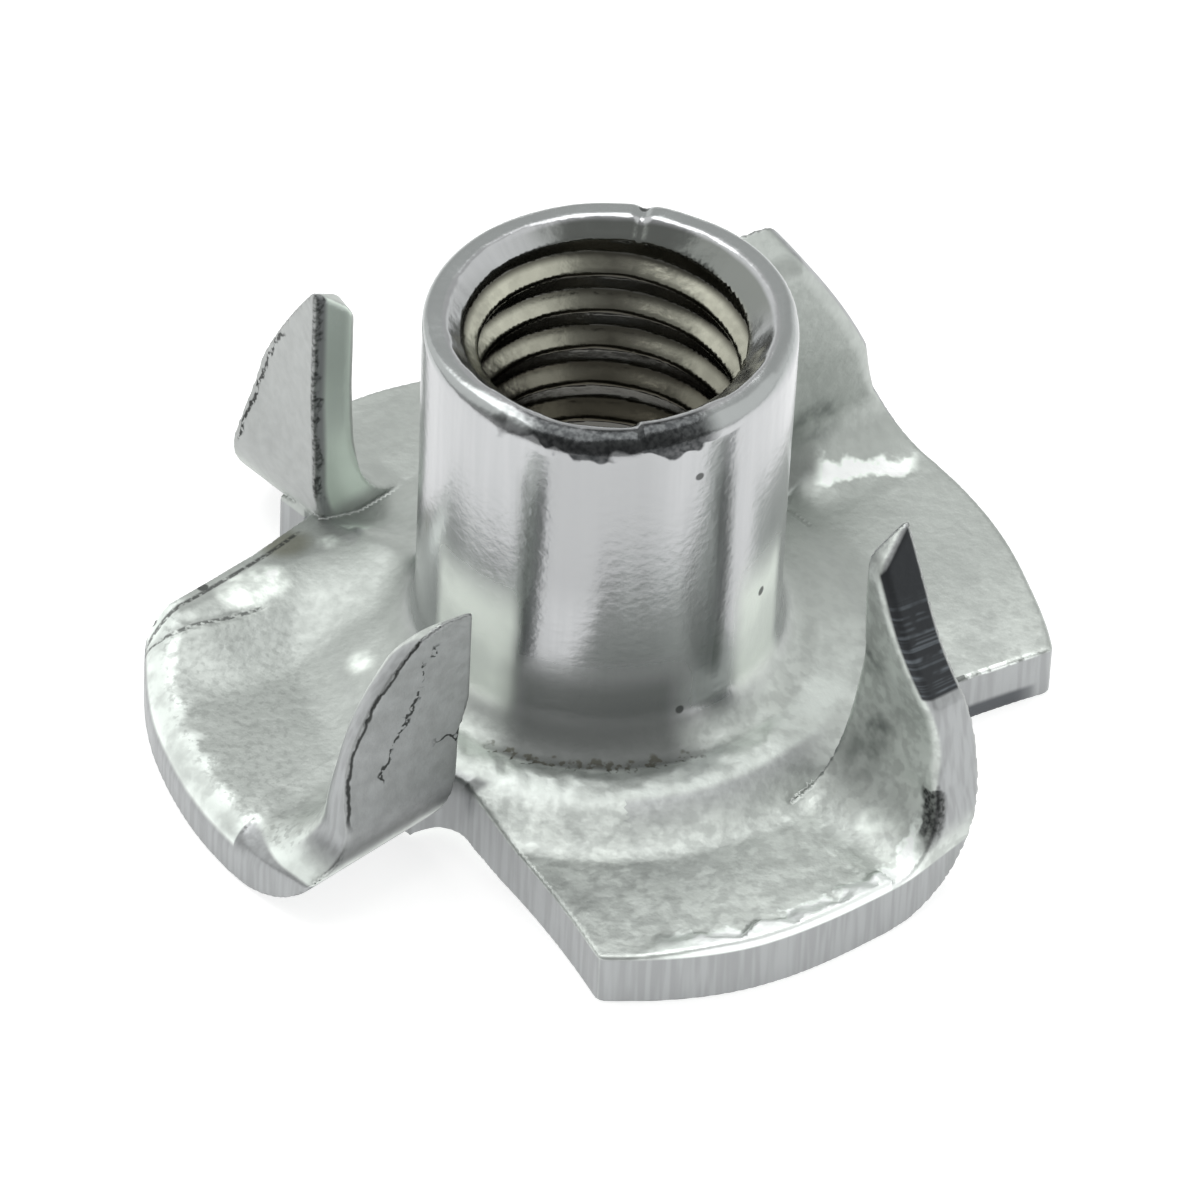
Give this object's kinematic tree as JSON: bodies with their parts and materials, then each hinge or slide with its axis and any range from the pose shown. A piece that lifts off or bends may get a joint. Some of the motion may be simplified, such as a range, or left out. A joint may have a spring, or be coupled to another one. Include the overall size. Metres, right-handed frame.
{
  "type": "pronged tee nut",
  "caption": "Sheet-metal nut with a tall threaded barrel on a slit round flange whose folded-up prongs grip timber.",
  "frame": {"origin": "on the barrel's axis, in the plane that the flange's underside seats on", "axes": "+Z along the barrel towards its rim; +X crosses one lobe of the flange next to its sheared corner"},
  "size_m": [0.019, 0.019, 0.0102],
  "materials": {
    "zinc_plated_steel": "bright zinc plate on pressed mild steel, satin on the sheet and brighter on the barrel"
  },
  "bodies": {
    "root": {"tee_nut": "zinc_plated_steel"}
  },
  "joints": []
}
